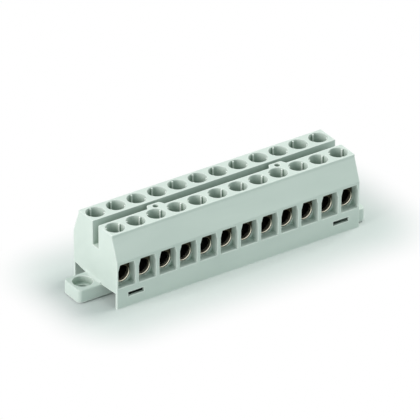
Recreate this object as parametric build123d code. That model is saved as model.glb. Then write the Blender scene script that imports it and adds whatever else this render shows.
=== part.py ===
# Twelve-pole terminal block with two rows of screw clamps, modelled in millimetres.
# X runs along the block, Y from front to back and Z up. The origin is at the middle of the
# footprint, fixing ear and end tongue included, on the surface that the block stands on.
import os
from math import atan, degrees

from build123d import *

# Poles
pole_count = 12
pitch = 8.5

# Body section, seen from the end
body_depth = 27.8
body_height = 28.1
bend_height = 18.5
top_lip = 1.1
top_edge_radius = 0.35
bend_radius = 0.6
end_edge_radius = 0.25

# Wire entries
entry_width = 7.0
entry_bottom = 8.13
entry_height = 9.25
entry_draft = 0.05
entry_slant_width = 0.7
entry_slant_height = 2.5
entry_corner_radius = 0.3
entry_edge_radius = 0.3
end_wall = 0.65

# Screw wells
well_radius = 3.42
well_bevel = 0.2
well_slot_wall = 0.6
well_outer_wall = 0.93
well_floor_thickness = 1.2
guide_rib_width = 0.6
guide_rib_height = 0.55
guide_rib_drop = 0.4
guide_rib_angles = (30, 150, 270)

# Slot along the top, with the two peg bosses on its front side
slot_width = 3.8
slot_offset = -0.35
slot_depth = 9.5
boss_poles = (3, 9)
boss_offset = 2.6
boss_reach = 2.1
boss_length = 5.1
boss_flare = 1.2
boss_foot = 0.5
boss_corner_radius = 0.7
peg_hole_radius = 1.1
peg_hole_wall = 0.6
peg_hole_depth = 7.0

# Hollow underside
skirt_thickness = 1.0
ceiling_height = 6.1
spine_lift = 0.6
spine_wall = 1.3
spine_rib = 1.8
end_gap_skirt_top = 6.0
end_gap_spine_top = 5.2

# Latch windows in the skirts
window_end_distance = 4.6
window_length = 6.6
window_bottom = 3.9
window_height = 1.7

# Fixing ear at the left end
ear_reach = 9.4
ear_width = 10.2
ear_offset = 1.0
ear_top = 5.6
ear_corner_radius = 1.6
ear_edge_radius = 0.5
ear_root_radius = 1.0
ear_hole_distance = 4.6
ear_hole_radius = 2.25
ear_counterbore_radius = 3.7
ear_counterbore_depth = 2.7

# End tongue at the right end
tongue_reach = 4.2
tongue_root = 6.4
tongue_top = 5.7
tongue_skirt_gap = 1.0
tongue_spine_gap = 0.4
tongue_corner_radius = 1.7
tongue_edge_radius = 0.4

# Terminal sleeves
sleeve_clearance = 0.2
sleeve_slant_clearance = 0.12
sleeve_inset = 0.36
sleeve_end_wall = 1.43
sleeve_bore_radius = 2.9
sleeve_mouth_radius = 0.28

# Clamp screws
screw_radius = 2.5
screw_length = 8.5
screw_running_clearance = 0.05
screw_bore_clearance = 0.25
screw_end_bevel = 0.35
screw_tip_radius = 1.6
screw_tip_height = 0.7
driver_slot_width = 1.0
driver_slot_depth = 1.5

# How far a cutter reaches past the face it opens, and how far joined pieces overlap
overshoot = 1.0
overlap = 0.01

# Sizes that follow from the ones above
web = pitch - entry_width
body_length = pole_count * pitch - web + 2 * end_wall
body_left = (ear_reach - tongue_reach - body_length) / 2
body_right = body_left + body_length
body_front = -body_depth / 2
slot_front = slot_offset - slot_width / 2
slot_back = slot_offset + slot_width / 2
slot_floor = body_height - slot_depth
well_y = slot_front - well_slot_wall - well_radius
top_half_width = -well_y + well_radius + well_outer_wall
entry_top = entry_bottom + entry_height
tunnel_half_width = entry_width / 2 - entry_draft
tunnel_top = entry_top - entry_draft
tunnel_top_half_width = tunnel_half_width - entry_slant_width
slant = entry_slant_width / entry_slant_height
well_floor = tunnel_top + well_floor_thickness
guide_radius = well_radius - guide_rib_height
guide_rib_top = body_height - guide_rib_drop
skirt_inside = body_depth / 2 - skirt_thickness
spine_front = ear_offset - ear_width / 2
spine_back = ear_offset + ear_width / 2
bore_z = entry_bottom + entry_draft + tunnel_half_width
sleeve_half_width = tunnel_half_width - sleeve_clearance
sleeve_top = tunnel_top - sleeve_clearance
sleeve_top_half_width = tunnel_top_half_width + slant * sleeve_clearance - sleeve_slant_clearance
sleeve_length = 2 * (-well_y + screw_radius + screw_running_clearance + sleeve_end_wall)
entry_depth = (body_depth - sleeve_length) / 2 - sleeve_inset
screw_tip_z = bore_z + sleeve_bore_radius + screw_bore_clearance
middle_low = (Align.CENTER, Align.CENTER, Align.MIN)


def pole_x(pole):
    """Middle of a pole, counted from 1 at the left end."""
    return body_left + end_wall + entry_width / 2 + (pole - 1) * pitch


def for_every_pole(shape):
    """A copy of the shape at each pole."""
    return [Pos(pole_x(pole), 0, 0) * shape for pole in range(1, pole_count + 1)]


def block(x0, x1, y0, y1, z0, z1):
    """A box between two corners."""
    return Pos(x0, y0, z0) * Box(x1 - x0, y1 - y0, z1 - z0, align=(Align.MIN,) * 3)


def body_blank():
    """The outer form: upright sides that lean in above the bend, and a short upright lip at the top."""
    half = body_depth / 2
    right = [
        (half, 0),
        (half, bend_height),
        (top_half_width, body_height - top_lip),
        (top_half_width, body_height),
    ]
    left = [(-y, z) for y, z in reversed(right)]
    outline = Polygon(*right, *left, align=None)
    outline = fillet(outline.vertices().group_by(Axis.Y)[-1], top_edge_radius)
    bends = [v for v in outline.vertices() if abs(v.Y - bend_height) < 1e-6]
    outline = fillet(bends, bend_radius)
    blank = extrude(Plane.YZ.offset(body_left) * outline, body_length)
    ends = blank.faces().filter_by(Axis.X)
    rims = [e for end in ends for e in end.edges() if e.center().Z > 1]
    return fillet(rims, end_edge_radius)


def terminal_outline(half_width, top_half_width, top):
    """Section of a sleeve or its tunnel: round at the bottom, with slanted corners at the top."""
    shoulder = top - (half_width - top_half_width) / slant
    right = [(half_width, bore_z), (half_width, shoulder), (top_half_width, top)]
    left = [(-x, z) for x, z in reversed(right)]
    return Polygon(*right, *left, align=None) + Pos(0, bore_z) * Circle(half_width)


def entry_cutter():
    """One front wire entry: a recess that narrows inwards, and half of the tunnel behind it."""
    half_width = entry_width / 2
    right = [
        (half_width, entry_bottom),
        (half_width, entry_top - entry_slant_height),
        (half_width - entry_slant_width, entry_top),
    ]
    left = [(-x, z) for x, z in reversed(right)]
    mouth = Polygon(*right, *left, align=None)
    mouth = fillet(mouth.vertices(), entry_corner_radius)
    mouth_plane = Plane(origin=(0, body_front, 0), x_dir=(-1, 0, 0), z_dir=(0, 1, 0))
    draft_angle = degrees(atan(entry_draft / entry_depth))
    recess = extrude(mouth_plane * mouth, entry_depth, dir=(0, 1, 0), taper=draft_angle)
    tunnel = terminal_outline(tunnel_half_width, tunnel_top_half_width, tunnel_top)
    tunnel_plane = Plane(origin=(0, body_front + entry_depth, 0), x_dir=(-1, 0, 0), z_dir=(0, 1, 0))
    half_tunnel = extrude(tunnel_plane * tunnel, body_depth / 2 - entry_depth + overlap, dir=(0, 1, 0))
    return [recess, half_tunnel]


def round_entry_edges(body):
    """Round the rims of all the entries on the front and back of the body."""
    rims = []
    for edge in body.edges():
        middle = edge.center()
        on_side = abs(abs(middle.Y) - body_depth / 2) < overlap
        at_entry = entry_bottom - overlap < middle.Z < entry_top + overlap
        inside_ends = body_left + end_wall - overlap < middle.X < body_right - end_wall + overlap
        if on_side and at_entry and inside_ends:
            rims.append(edge)
    return fillet(rims, entry_edge_radius)


def well_cutter():
    """One front screw well: a round well around three upright guide ribs, and the hole in its floor."""
    well = Pos(0, 0, well_floor) * Cylinder(well_radius, body_height - well_floor, align=middle_low)
    rib = block(
        guide_radius,
        well_radius + guide_rib_height,
        -guide_rib_width / 2,
        guide_rib_width / 2,
        well_floor,
        guide_rib_top,
    )
    well -= [Rot(0, 0, angle) * rib for angle in guide_rib_angles]
    rim = Pos(0, 0, body_height - well_bevel) * Cone(
        well_radius, well_radius + well_bevel, well_bevel, align=middle_low
    )
    floor_hole = Pos(0, 0, tunnel_top) * Cylinder(
        guide_radius, well_floor_thickness, align=middle_low
    )
    return [Pos(0, well_y, 0) * cutter for cutter in (well, rim, floor_hole)]


def peg_boss(pole):
    """A boss on the slot's front side, beside a well, and the blind peg hole in its top."""
    x = pole_x(pole) + boss_offset
    tip_y = slot_front + boss_reach
    foot = boss_length / 2 + boss_flare
    plan = Polygon(
        (x - foot, slot_front - boss_foot),
        (x + foot, slot_front - boss_foot),
        (x + boss_length / 2, tip_y),
        (x - boss_length / 2, tip_y),
        align=None,
    )
    plan = fillet(plan.vertices().group_by(Axis.Y)[-1], boss_corner_radius)
    boss = extrude(Pos(0, 0, slot_floor) * plan, slot_depth)
    hole_y = tip_y - peg_hole_wall - peg_hole_radius
    hole = Pos(x, hole_y, body_height - peg_hole_depth) * Cylinder(
        peg_hole_radius, peg_hole_depth, align=middle_low
    )
    return boss, hole


def slot_cutters():
    """The lengthwise slot around its two bosses, and the peg holes."""
    slot = block(
        body_left - overshoot,
        body_right + overshoot,
        slot_front,
        slot_back,
        slot_floor,
        body_height + overshoot,
    )
    holes = []
    for pole in boss_poles:
        boss, hole = peg_boss(pole)
        slot -= boss
        holes.append(hole)
    return [slot, *holes]


def end_gap(skirt_y, spine_y, x0, x1):
    """The gap under an end wall, from a skirt to the spine, higher beside the skirt."""
    outline = Polygon(
        (skirt_y, -overshoot),
        (skirt_y, end_gap_skirt_top),
        (spine_y, end_gap_spine_top),
        (spine_y, -overshoot),
        align=None,
    )
    return extrude(Plane.YZ.offset(x0) * outline, x1 - x0, dir=(1, 0, 0))


def underside_cutters():
    """The two channels between skirts and spine, the gaps at their ends, and the pockets in the spine."""
    left = body_left - overshoot
    right = body_right + overshoot
    inside_left = body_left + end_wall
    inside_right = body_right - end_wall
    cutters = [
        block(inside_left, inside_right, -skirt_inside, spine_front, -overshoot, ceiling_height),
        block(inside_left, inside_right, spine_back, skirt_inside, -overshoot, ceiling_height),
        block(left, right, spine_front, spine_back, -overshoot, spine_lift),
    ]
    for x0, x1 in ((left, inside_left + overlap), (inside_right - overlap, right)):
        cutters.append(end_gap(-skirt_inside, spine_front, x0, x1))
        cutters.append(end_gap(skirt_inside, spine_back, x0, x1))
    pocket = block(
        -(pitch - spine_rib) / 2,
        (pitch - spine_rib) / 2,
        spine_front + spine_wall,
        spine_back - spine_wall,
        -overshoot,
        ear_top,
    )
    return cutters + for_every_pole(pocket)


def window_cutters():
    """A latch window near each end of both skirts."""
    cutters = []
    reach = skirt_thickness + overshoot
    for x in (body_left + window_end_distance, body_right - window_end_distance - window_length):
        for y in (-skirt_inside, skirt_inside):
            cutters.append(
                block(
                    x, x + window_length, y - reach, y + reach, window_bottom, window_bottom + window_height
                )
            )
    return cutters


def fixing_ear():
    """The ear: a thick plate with round corners, a counterbored screw hole and a rounded root."""
    plan = Pos(body_left, ear_offset) * RectangleRounded(2 * ear_reach, ear_width, ear_corner_radius)
    plate = extrude(Pos(0, 0, spine_lift) * plan, ear_top - spine_lift)
    plate = fillet(plate.faces().sort_by(Axis.Z)[-1].edges(), ear_edge_radius)
    plate -= block(
        body_left + end_wall,
        body_left + 2 * ear_reach,
        spine_front - overshoot,
        spine_back + overshoot,
        0,
        body_height,
    )
    hole_place = Pos(body_left - ear_hole_distance, ear_offset, ear_top)
    plate -= hole_place * Cylinder(ear_hole_radius, 4 * ear_top)
    plate -= hole_place * Cylinder(ear_counterbore_radius, 2 * ear_counterbore_depth)
    root = Pos(body_left - ear_root_radius / 2, ear_top + ear_root_radius / 2) * Rectangle(
        ear_root_radius, ear_root_radius
    )
    root -= Pos(body_left - ear_root_radius, ear_top + ear_root_radius) * Circle(ear_root_radius)
    root_width = ear_width - 2 * ear_edge_radius
    root_strip = extrude(Plane.XZ.offset(root_width / 2 - ear_offset) * root, -root_width)
    return plate + root_strip


def end_tongue():
    """The short tongue that lines up with the gap under the next block's end wall."""
    front = -skirt_inside + tongue_skirt_gap
    back = spine_front - tongue_spine_gap
    plan = Pos(body_right, (front + back) / 2) * RectangleRounded(
        2 * tongue_reach, back - front, tongue_corner_radius
    )
    tip = extrude(Pos(0, 0, spine_lift) * plan, tongue_top - spine_lift)
    tip = fillet(tip.faces().sort_by(Axis.Z)[-1].edges(), tongue_edge_radius)
    tip -= block(body_left, body_right - end_wall, front - overshoot, back + overshoot, 0, body_height)
    root = block(
        body_right - tongue_root, body_right, front, back, spine_lift, ceiling_height + overlap
    )
    inner_end = root.edges().filter_by(Axis.Z).group_by(Axis.X)[0]
    return tip + chamfer(inner_end, tongue_corner_radius)


def make_housing():
    """The whole moulding."""
    housing = body_blank()
    for cutter in entry_cutter():
        housing -= for_every_pole(cutter) + for_every_pole(mirror(cutter, Plane.XZ))
    housing = round_entry_edges(housing)
    cutters = slot_cutters() + underside_cutters() + window_cutters()
    for cutter in well_cutter():
        cutters += for_every_pole(cutter) + for_every_pole(mirror(cutter, Plane.XZ))
    housing -= cutters
    housing += [fixing_ear(), end_tongue()]
    return housing


def make_sleeve():
    """A terminal sleeve with a wire bore right through, rounded at its mouths, and two tapped holes."""
    section = Plane.XZ * terminal_outline(sleeve_half_width, sleeve_top_half_width, sleeve_top)
    sleeve = extrude(section, sleeve_length / 2, both=True)
    sleeve -= Pos(0, 0, bore_z) * Rot(90, 0, 0) * Cylinder(sleeve_bore_radius, sleeve_length + overshoot)
    mouths = sleeve.edges().filter_by(GeomType.CIRCLE)
    mouths = [edge for edge in mouths if abs(edge.radius - sleeve_bore_radius) < overlap]
    sleeve = fillet(mouths, sleeve_mouth_radius)
    tapped_hole = Pos(0, well_y, bore_z) * Cylinder(
        screw_radius + screw_running_clearance, sleeve_top - bore_z + overshoot, align=middle_low
    )
    return sleeve - [tapped_hole, mirror(tapped_hole, Plane.XZ)]


def make_screw():
    """A headless clamp screw with a driver slot, a bevelled top and a rounded-off tip."""
    profile = Polygon(
        (0, screw_tip_z),
        (screw_tip_radius, screw_tip_z),
        (screw_radius, screw_tip_z + screw_tip_height),
        (screw_radius, screw_tip_z + screw_length - screw_end_bevel),
        (screw_radius - screw_end_bevel, screw_tip_z + screw_length),
        (0, screw_tip_z + screw_length),
        align=None,
    )
    screw = revolve(Plane.XZ * profile, Axis.Z)
    driver_slot = Pos(0, 0, screw_tip_z + screw_length) * Box(
        3 * screw_radius, driver_slot_width, 2 * driver_slot_depth
    )
    return screw - driver_slot


def main():
    os.makedirs("parts", exist_ok=True)
    export_step(make_housing(), "parts/housing.step")
    sleeve = make_sleeve()
    screw = make_screw()
    for pole in range(1, pole_count + 1):
        x = pole_x(pole)
        export_step(Pos(x, 0, 0) * sleeve, f"parts/terminal_sleeve_{pole:02d}.step")
        export_step(Pos(x, well_y, 0) * screw, f"parts/front_screw_{pole:02d}.step")
        export_step(Pos(x, -well_y, 0) * screw, f"parts/rear_screw_{pole:02d}.step")


main()
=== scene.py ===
from math import cos, pi, radians, sin

import bmesh
import bpy
import numpy as np
from mathutils import Matrix, Vector


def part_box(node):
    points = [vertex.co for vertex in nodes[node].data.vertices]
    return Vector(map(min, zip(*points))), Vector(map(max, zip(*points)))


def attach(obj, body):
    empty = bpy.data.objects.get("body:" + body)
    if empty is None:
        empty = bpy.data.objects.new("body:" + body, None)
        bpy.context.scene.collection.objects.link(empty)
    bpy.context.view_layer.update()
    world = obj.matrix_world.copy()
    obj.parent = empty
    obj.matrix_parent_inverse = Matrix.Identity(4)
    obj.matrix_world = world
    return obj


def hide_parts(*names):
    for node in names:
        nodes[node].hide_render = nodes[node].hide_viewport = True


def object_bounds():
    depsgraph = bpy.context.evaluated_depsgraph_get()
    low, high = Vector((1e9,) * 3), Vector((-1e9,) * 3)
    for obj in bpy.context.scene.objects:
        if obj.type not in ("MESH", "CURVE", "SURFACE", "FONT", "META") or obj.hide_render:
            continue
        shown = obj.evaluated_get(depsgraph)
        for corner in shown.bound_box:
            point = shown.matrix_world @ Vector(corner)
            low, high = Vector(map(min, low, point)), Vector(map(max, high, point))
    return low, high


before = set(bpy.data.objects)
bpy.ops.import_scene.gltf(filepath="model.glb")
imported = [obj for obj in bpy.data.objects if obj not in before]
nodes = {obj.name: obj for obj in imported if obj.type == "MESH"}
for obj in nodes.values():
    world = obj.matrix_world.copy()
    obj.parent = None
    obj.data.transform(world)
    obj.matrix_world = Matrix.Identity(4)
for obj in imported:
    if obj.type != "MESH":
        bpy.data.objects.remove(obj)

# Looks of a twelve-pole terminal block. The frame is in metres, and the sizes below are in millimetres
# unless a note says otherwise.
mm = 0.001
sharpEdge = 32  # degrees; flatter edges of a new piece are shaded smooth
weldReach = 1e-4  # mm; closer points of a new piece are joined
shareIn, firstIn, secondIn, mixOut = 0, 6, 7, 2  # sockets of a Mix node that mixes two colours
waveRadians = 20  # what a wave texture of scale 1 runs through in one unit

for name in ("Cube", "Light", "Camera"):  # what a fresh Blender file holds
    if name in bpy.data.objects:
        bpy.data.objects.remove(bpy.data.objects[name])
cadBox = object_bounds()
print("frame loaded:", len(nodes), "nodes")


def linearColour(hexColour):
    # sRGB to linear, for each channel c: c / 12.92 up to 0.04045,
    # and above it ((c + 0.055) / 1.055) to the power 2.4
    channels = [int(hexColour[i:i + 2], 16) / 255 for i in (1, 3, 5)]
    return (*[c / 12.92 if c <= 0.04045 else ((c + 0.055) / 1.055) ** 2.4 for c in channels], 1)


def addNode(tree, kind, sockets=None, **settings):
    # a node of this kind; a socket is given a value or another node's output
    node = tree.nodes.new("ShaderNode" + kind)
    for key, value in settings.items():
        setattr(node, key, value)
    for key, value in (sockets or {}).items():
        if isinstance(value, bpy.types.NodeSocket):
            tree.links.new(value, node.inputs[key])
        else:
            node.inputs[key].default_value = value
    return node


def newMaterial(name):
    # a material with one shader, and the place on the object for its patterns
    material = bpy.data.materials.new(name)
    material.use_nodes = True
    tree = material.node_tree
    tree.nodes.clear()
    shader = addNode(tree, "BsdfPrincipled")
    addNode(tree, "OutputMaterial", {"Surface": shader.outputs[0]})
    place = addNode(tree, "TexCoord").outputs["Object"]
    return material, tree, shader, place


def dress(node, material):
    # the CAD node keeps its mesh and gets the material
    node.data.materials.clear()
    node.data.materials.append(material)


# Housing: moulded polyamide, pale grey-green. Semi-matt, with soft wide highlights on the small edge radii,
# a fine eroded grain from the tool and faint cloudy streaks from the flow of the melt. Deep wells and corners
# get a painted olive shade, and thin ribs and outer edges a painted pale highlight.
housingFinish = {
    "colour": "#DDE6DF",
    "streakColour": "#D5DFD8",
    "streakSize": 16,
    "streakStretch": 0.35,  # streaks run along the block
    "streakDetail": 3,
    "streakWarp": 0.6,
    "streakRamp": (0.35, 0.65),  # noise below the first is all streak, above the second all plain colour
    "grainSize": 0.35,  # drawn a few times coarser than the real grain, so that it shows
    "grainHeight": 0.004,
    "grainDetail": 2,
    "edgeRadius": 0.2,  # what the tool leaves on edges that the solid keeps sharp
    "edgeSamples": 8,
    # painted highlight: paler colour on thin ribs and outer edges
    "edgeHighlightColour": "#F6FAF5",
    "edgeHighlightReach": 0.5,  # how deep the plastic must be to count as solid
    "edgeHighlightSolid": (0.96, 0.55),  # solid share below a spot, from no painted highlight to full
    # painted shade: olive colour in deep wells, recesses and corners, where walls shelter a spot
    "recessShadeColour": "#6D8C76",
    "recessShadeReach": 8,  # how far walls shelter a spot
    "recessShadeOpen": (0.0, 0.52),  # open share of the view, from all painted shade to none
    "shelterSamples": 16,  # rays that measure the open and the solid share
    "roughness": (0.40, 0.50),
    "ior": 1.53,
}


def mouldedPolyamide():
    finish = housingFinish
    material, tree, shader, place = newMaterial("moulded polyamide")
    stretched = addNode(tree, "Mapping", {"Vector": place, "Scale": (finish["streakStretch"], 1, 1)})
    streaks = addNode(tree, "TexNoise", {
        "Vector": stretched.outputs[0], "Scale": 1 / (finish["streakSize"] * mm),
        "Detail": finish["streakDetail"], "Distortion": finish["streakWarp"]})
    cloudy = addNode(tree, "ValToRGB", {"Fac": streaks.outputs[0]})
    darker, plain = cloudy.color_ramp.elements
    darker.position, plain.position = finish["streakRamp"]
    darker.color = linearColour(finish["streakColour"])
    plain.color = linearColour(finish["colour"])
    # painted shade: the colour turns to the olive recess colour where walls shelter a spot
    openness = addNode(
        tree, "AmbientOcclusion", {"Distance": finish["recessShadeReach"] * mm},
        samples=finish["shelterSamples"], only_local=True)
    fullShade, noShade = finish["recessShadeOpen"]
    shadeFree = addNode(tree, "MapRange", {
        "Value": openness.outputs["AO"], "From Min": fullShade, "From Max": noShade})
    recessShaded = addNode(tree, "Mix", {
        shareIn: shadeFree.outputs[0], firstIn: linearColour(finish["recessShadeColour"]),
        secondIn: cloudy.outputs[0]}, data_type="RGBA")
    rounded = addNode(tree, "Bevel", {"Radius": finish["edgeRadius"] * mm}, samples=finish["edgeSamples"])
    # painted highlight: ribs and outer edges with little plastic below turn paler
    below = addNode(
        tree, "AmbientOcclusion", {"Distance": finish["edgeHighlightReach"] * mm},
        samples=finish["shelterSamples"], inside=True, only_local=True)
    noHighlight, fullHighlight = finish["edgeHighlightSolid"]
    highlighted = addNode(tree, "MapRange", {
        "Value": below.outputs["AO"], "From Min": noHighlight, "From Max": fullHighlight})
    colour = addNode(tree, "Mix", {
        shareIn: highlighted.outputs[0], firstIn: recessShaded.outputs[mixOut],
        secondIn: linearColour(finish["edgeHighlightColour"])}, data_type="RGBA")
    tree.links.new(colour.outputs[mixOut], shader.inputs["Base Color"])
    grain = addNode(tree, "TexNoise", {
        "Vector": place, "Scale": 1 / (finish["grainSize"] * mm), "Detail": finish["grainDetail"]})
    shiny, dull = finish["roughness"]
    roughness = addNode(tree, "MapRange", {"Value": streaks.outputs[0], "To Min": shiny, "To Max": dull})
    tree.links.new(roughness.outputs[0], shader.inputs["Roughness"])
    bump = addNode(tree, "Bump", {
        "Height": grain.outputs[0], "Distance": finish["grainHeight"] * mm, "Normal": rounded.outputs[0]})
    tree.links.new(bump.outputs[0], shader.inputs["Normal"])
    shader.inputs["IOR"].default_value = finish["ior"]
    return material


dress(nodes["housing"], mouldedPolyamide())
print("housing dressed")


# Terminal sleeves: nickel-plated brass, cut from an extruded bar. Warm silver round the mouth, with painted
# brown shade on the cut end beyond it and above the bore, fine saw lines there, and painted dark shade and
# drill rings in the bore.
sleeveFinish = {
    "colour": "#F3ECD9",
    "endShadeColour": "#4F483B",  # painted shade on the cut end
    "endShadeFrom": (0.3, 0.42),  # how far outside the bore the painted shade starts and is full
    "endShadeOver": (-0.5, 1.6),  # height over the bore, from no painted shade to full
    "boreRadius": 2.9,
    "mouthRound": 0.28,
    "sawLine": 0.12,
    "sawStretch": 0.04,  # the lines run level across the cut end
    "sawDetail": 2,
    "sawDepth": 0.004,
    "drillRing": 0.25,  # one radian of the wave, so the rings lie 1.6 mm apart, coarse enough to show
    "drillWarp": 1.5,
    "drillDepth": 0.006,
    "boreShadeColour": "#1E1C17",  # painted shade inside the bore
    "boreShadeFrom": 0.6,  # how far in from the mouth that painted shade starts; the drilled roughness is full there
    "boreShadeTo": 1.7,  # and is full
    "boreRoughness": 0.5,
    "roughness": (0.16, 0.30),
}
sleeveNames = sorted(name for name in nodes if name.startswith("terminal_sleeve"))


def nickelPlatedBrass():
    # The distance from a bore's axis is the root of x * x + z * z from the first bore, with x wrapped by the
    # pitch.
    finish = sleeveFinish
    material, tree, shader, place = newMaterial("nickel-plated brass")
    shader.inputs["Metallic"].default_value = 1
    low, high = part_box(sleeveNames[0])
    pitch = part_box(sleeveNames[1])[0].x - low.x
    middle = (low.x + high.x) / 2
    boreHeight = low.z + (high.x - low.x) / 2  # the sleeve is round below, about its bore
    axes = addNode(tree, "SeparateXYZ", {"Vector": place})
    middleOut = addNode(tree, "Math", {0: axes.outputs["Y"]}, operation="ABSOLUTE")
    # painted shade: the bore turns dark from a little way in from the mouth
    inside = addNode(tree, "MapRange", {
        "Value": middleOut.outputs[0], "From Min": high.y - finish["boreShadeFrom"] * mm,
        "From Max": high.y - finish["boreShadeTo"] * mm})
    aside = addNode(tree, "Math", {
        0: axes.outputs["X"], 1: middle + pitch / 2, 2: middle - pitch / 2}, operation="WRAP")
    across = addNode(tree, "CombineXYZ", {"X": aside.outputs[0], "Z": axes.outputs["Z"]})
    fromBore = addNode(tree, "VectorMath", {
        0: across.outputs[0], 1: (middle, 0, boreHeight)}, operation="DISTANCE")
    # painted shade: the cut end turns brown beyond the mouth and above the bore
    edge, full = (finish["boreRadius"] + width for width in finish["endShadeFrom"])
    shadeBeyondMouth = addNode(tree, "MapRange", {
        "Value": fromBore.outputs["Value"], "From Min": edge * mm, "From Max": full * mm})
    unshadedHeight, shadedHeight = (boreHeight + height * mm for height in finish["endShadeOver"])
    shadeAboveBore = addNode(tree, "MapRange", {
        "Value": axes.outputs["Z"], "From Min": unshadedHeight, "From Max": shadedHeight})
    cutEndShade = addNode(tree, "Math", {0: shadeBeyondMouth.outputs[0], 1: shadeAboveBore.outputs[0]}, operation="MAXIMUM")
    outside = addNode(tree, "Mix", {
        shareIn: cutEndShade.outputs[0], firstIn: linearColour(finish["colour"]),
        secondIn: linearColour(finish["endShadeColour"])}, data_type="RGBA")
    colour = addNode(tree, "Mix", {
        shareIn: inside.outputs[0], firstIn: outside.outputs[mixOut],
        secondIn: linearColour(finish["boreShadeColour"])}, data_type="RGBA")
    tree.links.new(colour.outputs[mixOut], shader.inputs["Base Color"])
    level = (finish["sawStretch"], finish["sawStretch"], 1)
    stretched = addNode(tree, "Mapping", {"Vector": place, "Scale": level})
    saw = addNode(tree, "TexNoise", {
        "Vector": stretched.outputs[0], "Scale": 1 / (finish["sawLine"] * mm), "Detail": finish["sawDetail"]})
    rings = addNode(tree, "TexWave", {
        "Vector": place, "Scale": 1 / (finish["drillRing"] * mm) / waveRadians,
        "Distortion": finish["drillWarp"]}, bands_direction="Y")
    sawBump = addNode(tree, "Bump", {"Height": saw.outputs[0], "Distance": finish["sawDepth"] * mm})
    ringBump = addNode(tree, "Bump", {
        "Height": rings.outputs[0], "Distance": finish["drillDepth"] * mm, "Normal": sawBump.outputs[0]})
    tree.links.new(ringBump.outputs[0], shader.inputs["Normal"])
    shiny, dull = finish["roughness"]
    cut = addNode(tree, "MapRange", {"Value": saw.outputs[0], "To Min": shiny, "To Max": dull})
    drilled = addNode(tree, "MapRange", {
        "Value": middleOut.outputs[0], "From Min": high.y - finish["mouthRound"] * mm,
        "From Max": high.y - finish["boreShadeFrom"] * mm, "To Max": finish["boreRoughness"]})
    roughness = addNode(tree, "Math", {0: cut.outputs[0], 1: drilled.outputs[0]}, operation="MAXIMUM")
    tree.links.new(roughness.outputs[0], shader.inputs["Roughness"])
    return material


sleeveMetal = nickelPlatedBrass()
for name in sleeveNames:
    dress(nodes[name], sleeveMetal)
print("sleeves dressed:", len(sleeveNames))


# Clamp screws: headless, M5, with a driver slot. Each is a new threaded piece in the place of its CAD node.
# Zinc-plated steel: cold silver-grey with faint cloudy patches; plating dulls the turned surface a little.
clampScrew = {
    "threadPitch": 0.8,
    "threadDepth": 0.49,
    "crest": 1 / 16,  # share of a turn from the middle of the crest to its edge
    "flank": 5 / 16,  # and on from there to the groove's floor
    "endBevel": 0.35,
    "tipRadius": 1.6,
    "tipHeight": 0.7,
    "slotWidth": 1.0,
    "slotDepth": 1.5,
    "rowsPerTurn": 8,
    "columns": 15,  # grid columns on each side of the driver slot
    "slotColumns": 4,  # and across the slot's two ends
    "endRows": 3,  # rows of points across the land at the end, and from the tip's rim to its middle
    "cornerRounds": 5,
    "turnSeed": 5,
    "colour": "#C3C6C8",
    "patchColour": "#AEB3B6",
    "patchSize": 1.5,
    "patchDetail": 3,
    "grainSize": 0.15,
    "grainHeight": 0.003,
    "roughness": (0.26, 0.42),
}


def screwRadius(angle, height, radius, length):
    # The least of three radii at an angle and a height. Thread: outer radius less depth times g, where g
    # climbs from 0 at the crest's edge to 1 at the groove's floor, and the crest is at height = pitch * angle
    # / full turn. Tip: a cone from the tip's radius up to the outer one. Slotted end: a bevel at 45 degrees.
    turn = (height / clampScrew["threadPitch"] - angle / (2 * pi)) % 1
    fromCrest = 0.5 - np.abs(turn - 0.5)
    groove = np.clip((fromCrest - clampScrew["crest"]) / clampScrew["flank"], 0, 1)
    thread = radius - clampScrew["threadDepth"] * groove
    tip = clampScrew["tipRadius"] + (radius - clampScrew["tipRadius"]) * height / clampScrew["tipHeight"]
    bevel = radius - np.maximum(height - length + clampScrew["endBevel"], 0)
    return np.minimum(np.minimum(thread, tip), bevel)


def screwPoint(angle, height, radius, length):
    # x = r cos(angle), y = r sin(angle), z = height, with r from screwRadius
    angle, height = np.broadcast_arrays(angle, height)
    r = screwRadius(angle, height, radius, length)
    return np.stack([r * np.cos(angle), r * np.sin(angle), height], -1)


def between(first, last, steps):
    # straight rows from the points in first to those in last: (1 - t) * first + t * last, for t from 0 to 1
    t = np.linspace(0, 1, steps)[:, None]
    return (1 - t) * first[..., None, :] + t * last[..., None, :]


def slotCorner(height, quarter, radius, length):
    # the angle where the thread meets the slot's wall: sin(angle) * r(angle) = half the slot's width,
    # solved by a few rounds of angle = arcsin(half width / r(angle)) and mirrored into the other quarters
    base, sign = ((0, 1), (pi, -1), (pi, 1), (2 * pi, -1))[quarter]
    angle = np.full_like(height, base)
    for _ in range(clampScrew["cornerRounds"]):
        reach = screwRadius(angle, height, radius, length)
        angle = base + sign * np.arcsin(clampScrew["slotWidth"] / 2 / reach)
    return angle


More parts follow.
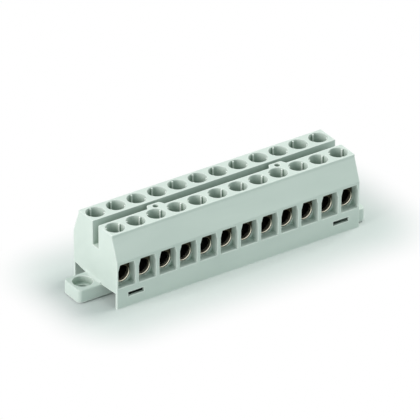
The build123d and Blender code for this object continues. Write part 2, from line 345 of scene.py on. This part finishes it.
def screwPatches(radius, length):
    # Grids of points: the threaded side below the slot's floor, the side above it in two halves, and for each
    # half the land at the end and the slot's wall, both straight rows between edges; then the slot's floor
    # and the tip.
    slotFloor = length - clampScrew["slotDepth"]
    rowHeight = clampScrew["threadPitch"] / clampScrew["rowsPerTurn"]
    lower = np.linspace(0, slotFloor, round(slotFloor / rowHeight) + 1)
    upper = np.linspace(slotFloor, length, round(clampScrew["slotDepth"] / rowHeight) + 1)
    columns, slotColumns, endRows = (clampScrew[key] for key in ("columns", "slotColumns", "endRows"))
    patches = []
    halves = []
    for first, last in ((0, 1), (2, 3)):
        start = slotCorner(upper, first, radius, length)
        end = slotCorner(upper, last, radius, length)
        share = np.linspace(0, 1, columns)
        angles = start[:, None] + (end - start)[:, None] * share
        side = screwPoint(angles, upper[:, None], radius, length)
        chord = between(side[:, 0], side[:, -1], columns)
        land = between(side[-1], chord[-1], endRows)
        patches += [side, chord, land]
        halves.append(angles[0])
    front, back = halves
    rightEnd = np.linspace(back[-1] - 2 * pi, front[0], slotColumns)
    leftEnd = np.linspace(front[-1], back[0], slotColumns)
    ring = np.concatenate([rightEnd[:-1], front[:-1], leftEnd[:-1], back])
    patches.append(screwPoint(ring[None, :], lower[:, None], radius, length))
    tipRing = screwPoint(ring, np.zeros_like(ring), radius, length)
    patches.append(between(tipRing, np.zeros_like(tipRing), endRows))
    rightArc = screwPoint(rightEnd, np.full_like(rightEnd, slotFloor), radius, length)
    leftArc = screwPoint(leftEnd[::-1], np.full_like(leftEnd, slotFloor), radius, length)
    patches.append(between(rightArc, leftArc, columns))
    return patches


def surfacePiece(name, patches, material, turn=0, place=(0, 0, 0)):
    # joins grids of points (row, column, xyz in mm) into one mesh, turned about Z and moved to its place
    points, quads, start = [], [], 0
    for patch in patches:
        rows, columns = patch.shape[:2]
        index = start + np.arange(rows * columns).reshape(rows, columns)
        corners = [index[:-1, :-1], index[:-1, 1:], index[1:, 1:], index[1:, :-1]]
        quads.append(np.stack(corners, -1).reshape(-1, 4))
        points.append(patch.reshape(-1, 3))
        start += rows * columns
    spin = np.array([[cos(turn), sin(turn), 0], [-sin(turn), cos(turn), 0], [0, 0, 1]])
    points = np.concatenate(points) @ spin * mm + place
    mesh = bpy.data.meshes.new(name)
    mesh.from_pydata(points.tolist(), [], np.concatenate(quads).tolist())
    shell = bmesh.new()
    shell.from_mesh(mesh)
    bmesh.ops.remove_doubles(shell, verts=shell.verts, dist=weldReach * mm)
    bmesh.ops.recalc_face_normals(shell, faces=shell.faces)
    shell.to_mesh(mesh)
    shell.free()
    mesh.shade_smooth()
    mesh.set_sharp_from_angle(angle=radians(sharpEdge))
    mesh.materials.append(material)
    piece = bpy.data.objects.new(name, mesh)
    bpy.context.scene.collection.objects.link(piece)
    return piece


def zincPlatedSteel():
    finish = clampScrew
    material, tree, shader, place = newMaterial("zinc-plated steel")
    shader.inputs["Metallic"].default_value = 1
    patches = addNode(tree, "TexNoise", {
        "Vector": place, "Scale": 1 / (finish["patchSize"] * mm), "Detail": finish["patchDetail"]})
    colour = addNode(tree, "Mix", {
        shareIn: patches.outputs[0], firstIn: linearColour(finish["patchColour"]),
        secondIn: linearColour(finish["colour"])}, data_type="RGBA")
    tree.links.new(colour.outputs[mixOut], shader.inputs["Base Color"])
    shiny, dull = finish["roughness"]
    roughness = addNode(tree, "MapRange", {"Value": patches.outputs[0], "To Min": dull, "To Max": shiny})
    tree.links.new(roughness.outputs[0], shader.inputs["Roughness"])
    grain = addNode(tree, "TexNoise", {"Vector": place, "Scale": 1 / (finish["grainSize"] * mm)})
    bump = addNode(tree, "Bump", {"Height": grain.outputs[0], "Distance": finish["grainHeight"] * mm})
    tree.links.new(bump.outputs[0], shader.inputs["Normal"])
    return material


screwMetal = zincPlatedSteel()
screwNames = sorted(name for name in nodes if "screw" in name)
turns = np.random.default_rng(clampScrew["turnSeed"]).uniform(0, pi, len(screwNames))
for name, turn in zip(screwNames, turns):
    low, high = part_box(name)
    radius = (high.x - low.x) / 2 / mm
    length = (high.z - low.z) / mm
    foot = np.array([(low.x + high.x) / 2, (low.y + high.y) / 2, low.z])
    screw = surfacePiece("threaded_" + name, screwPatches(radius, length), screwMetal, turn, foot)
    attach(screw, name)
    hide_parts(name)
print("screws threaded:", len(screwNames))


def outwards(azimuth, elevation):
    # unit vector from the block to an eye or a lamp, for angles in degrees:
    # x = sin(azimuth) cos(elevation), y = -cos(azimuth) cos(elevation), z = sin(elevation)
    a, e = radians(azimuth), radians(elevation)
    return Vector((sin(a) * cos(e), -cos(a) * cos(e), sin(e)))


# Camera: at the photograph's angle and from its distance, with a long lens
photoCamera = {
    "azimuth": -33.82,  # degrees
    "elevation": 30.69,
    "roll": 0.23,
    "distance": 2318,  # to the middle of the block
    "frameSide": 420,  # pixels
    "pixelsPerMm": 2.861,  # at the middle of the block
    "middle": (211.25, 218.44),  # pixel where that middle lies
    "sensor": 36,
    "clip": (0.01, 20),  # metres
}


def addCamera():
    view = photoCamera
    azimuth, roll = radians(view["azimuth"]), radians(view["roll"])
    back = outwards(view["azimuth"], view["elevation"])
    level = Vector((cos(azimuth), sin(azimuth), 0))
    upright = back.cross(level)
    right = cos(roll) * level + sin(roll) * upright
    up = cos(roll) * upright - sin(roll) * level
    middle = Vector((0, 0, (cadBox[0].z + cadBox[1].z) / 2))
    offset = [(pixel - view["frameSide"] / 2) / view["pixelsPerMm"] * mm for pixel in view["middle"]]
    aim = middle - right * offset[0] + up * offset[1]
    data = bpy.data.cameras.new("photo camera")
    data.sensor_width = view["sensor"]
    data.lens = view["sensor"] * view["pixelsPerMm"] * view["distance"] / view["frameSide"]
    data.clip_start, data.clip_end = view["clip"]
    camera = bpy.data.objects.new("photo camera", data)
    axes = Matrix((right, up, back)).transposed().to_4x4()
    camera.matrix_world = Matrix.Translation(aim + back * view["distance"] * mm) @ axes
    bpy.context.scene.collection.objects.link(camera)
    bpy.context.scene.camera = camera


addCamera()
print("camera placed")


# Studio: a pale paper floor that runs out to white, a soft lamp from each side and a soft room light
studio = {
    "floorColour": "#DADFDD",
    "floorRoughness": 0.9,
    "floorSpecular": 0.1,
    "floorSide": 8000,
    "floorPoints": 3,  # along each side of the floor's grid
    "underShadowColour": "#3C4440",  # painted shadow: the paper's colour deep under the body, darker than its shade alone makes it
    "underShadowInset": (9, 1),  # how far inside the body's ends and sides that painted shadow is full
    "underShadowEdge": 1,  # width over which it fades out from there
    "earReach": 9.4,  # how far the ear and the tongue stand out from the block's body
    "tongueReach": 4.2,
    "whiteLeast": 0.04,  # share of white that the floor has close outside the body; it has none under it
    "whiteStart": 1.0,  # distance from the body over which that share sets in
    "whiteFrom": 4,  # distance where the floor starts to turn to all white
    "whiteTo": 30,
    "white": "#FFFFFF",
    "roomColour": "#E6FFFC",
    "roomStrength": 0.42,
    "lampDistance": 3,  # metres
    "lampSide": 1.6,  # metres
}
lamps = {  # degrees and watts
    "left key": {"azimuth": -90, "elevation": 25, "power": 54, "colour": "#FFFBFB"},
    "right fill": {"azimuth": 90, "elevation": 50, "power": 50, "colour": "#FFFDFA"},
}


def seenRay(tree):
    # 1 for rays that the eye follows: straight from the camera, mirrored, or passed by something clear
    path = addNode(tree, "LightPath")
    direct = addNode(tree, "Math", {
        0: path.outputs["Is Camera Ray"], 1: path.outputs["Is Glossy Ray"]}, operation="MAXIMUM")
    followed = addNode(tree, "Math", {
        0: direct.outputs[0], 1: path.outputs["Is Transmission Ray"]}, operation="MAXIMUM")
    return followed.outputs[0]


def paperFloor():
    # Matt white paper. To the eye it turns to plain white away from the block, as in an overexposed sweep,
    # and it has a painted shadow deep under it. With past = |place - body's middle| - half the body's size,
    # the distance from the body is the length of past where past is above 0, and the painted shadow is where
    # past + inset is below 0.
    material, tree, shader, place = newMaterial("matt paper sweep")
    shader.inputs["Roughness"].default_value = studio["floorRoughness"]
    shader.inputs["Specular IOR Level"].default_value = studio["floorSpecular"]
    left, right = cadBox[0].x + studio["earReach"] * mm, cadBox[1].x - studio["tongueReach"] * mm
    fromMiddle = addNode(tree, "VectorMath", {
        0: place, 1: ((left + right) / 2, 0, 0)}, operation="SUBTRACT")
    mirrored = addNode(tree, "VectorMath", {0: fromMiddle.outputs[0]}, operation="ABSOLUTE")
    past = addNode(tree, "VectorMath", {
        0: mirrored.outputs[0], 1: ((right - left) / 2, cadBox[1].y, 0)}, operation="SUBTRACT")
    outside = addNode(tree, "VectorMath", {0: past.outputs[0], 1: (0, 0, 0)}, operation="MAXIMUM")
    distance = addNode(tree, "VectorMath", {0: outside.outputs[0]}, operation="LENGTH")
    away = addNode(tree, "MapRange", {
        "Value": distance.outputs["Value"], "From Min": studio["whiteFrom"] * mm,
        "From Max": studio["whiteTo"] * mm, "To Min": studio["whiteLeast"]}, interpolation_type="SMOOTHSTEP")
    beside = addNode(tree, "MapRange", {
        "Value": distance.outputs["Value"], "From Max": studio["whiteStart"] * mm})
    # painted shadow: the paper's colour turns dark deep under the body
    inset = [width * mm for width in studio["underShadowInset"]]
    shaded = addNode(tree, "VectorMath", {0: past.outputs[0], 1: (*inset, 0)}, operation="ADD")
    sides = addNode(tree, "SeparateXYZ", {"Vector": shaded.outputs[0]})
    nearest = addNode(tree, "Math", {0: sides.outputs["X"], 1: sides.outputs["Y"]}, operation="MAXIMUM")
    lit = addNode(tree, "MapRange", {"Value": nearest.outputs[0], "From Max": studio["underShadowEdge"] * mm})
    paper = addNode(tree, "Mix", {
        shareIn: lit.outputs[0], firstIn: linearColour(studio["underShadowColour"]),
        secondIn: linearColour(studio["floorColour"])}, data_type="RGBA")
    tree.links.new(paper.outputs[mixOut], shader.inputs["Base Color"])
    clear = addNode(tree, "Math", {0: away.outputs[0], 1: beside.outputs[0]}, operation="MULTIPLY")
    share = addNode(tree, "Math", {0: clear.outputs[0], 1: seenRay(tree)}, operation="MULTIPLY")
    white = addNode(tree, "Emission", {"Color": linearColour(studio["white"]), "Strength": 1})
    sweep = addNode(tree, "MixShader", {0: share.outputs[0], 1: shader.outputs[0], 2: white.outputs[0]})
    tree.links.new(sweep.outputs[0], tree.nodes["Material Output"].inputs["Surface"])
    return material


def addFloor():
    # a flat grid of points at height 0
    half = studio["floorSide"] / 2
    side = np.linspace(-half, half, studio["floorPoints"])
    x, y = np.meshgrid(side, side)
    patch = np.stack([x, y, np.zeros_like(x)], -1)
    floor = surfacePiece("floor", [patch], paperFloor())


def addRoom():
    # the room light; rays that the eye follows see plain white
    world = bpy.data.worlds.new("studio room")
    world.use_nodes = True
    tree = world.node_tree
    tree.nodes.clear()
    room = addNode(tree, "Background", {
        "Color": linearColour(studio["roomColour"]), "Strength": studio["roomStrength"]})
    white = addNode(tree, "Background", {"Color": linearColour(studio["white"]), "Strength": 1})
    seen = addNode(tree, "MixShader", {0: seenRay(tree), 1: room.outputs[0], 2: white.outputs[0]})
    addNode(tree, "OutputWorld", {"Surface": seen.outputs[0]})
    bpy.context.scene.world = world


def addLamp(name, lamp):
    # a square lamp that faces the block
    back = outwards(lamp["azimuth"], lamp["elevation"])
    data = bpy.data.lights.new(name, "AREA")
    data.size = studio["lampSide"]
    data.energy = lamp["power"]
    data.color = linearColour(lamp["colour"])[:3]
    holder = bpy.data.objects.new(name, data)
    holder.location = back * studio["lampDistance"]
    holder.rotation_euler = back.to_track_quat("Z", "Y").to_euler()
    bpy.context.scene.collection.objects.link(holder)


addFloor()
addRoom()
for name, lamp in lamps.items():
    addLamp(name, lamp)
bpy.context.scene.view_settings.view_transform = "Standard"
print("studio set")
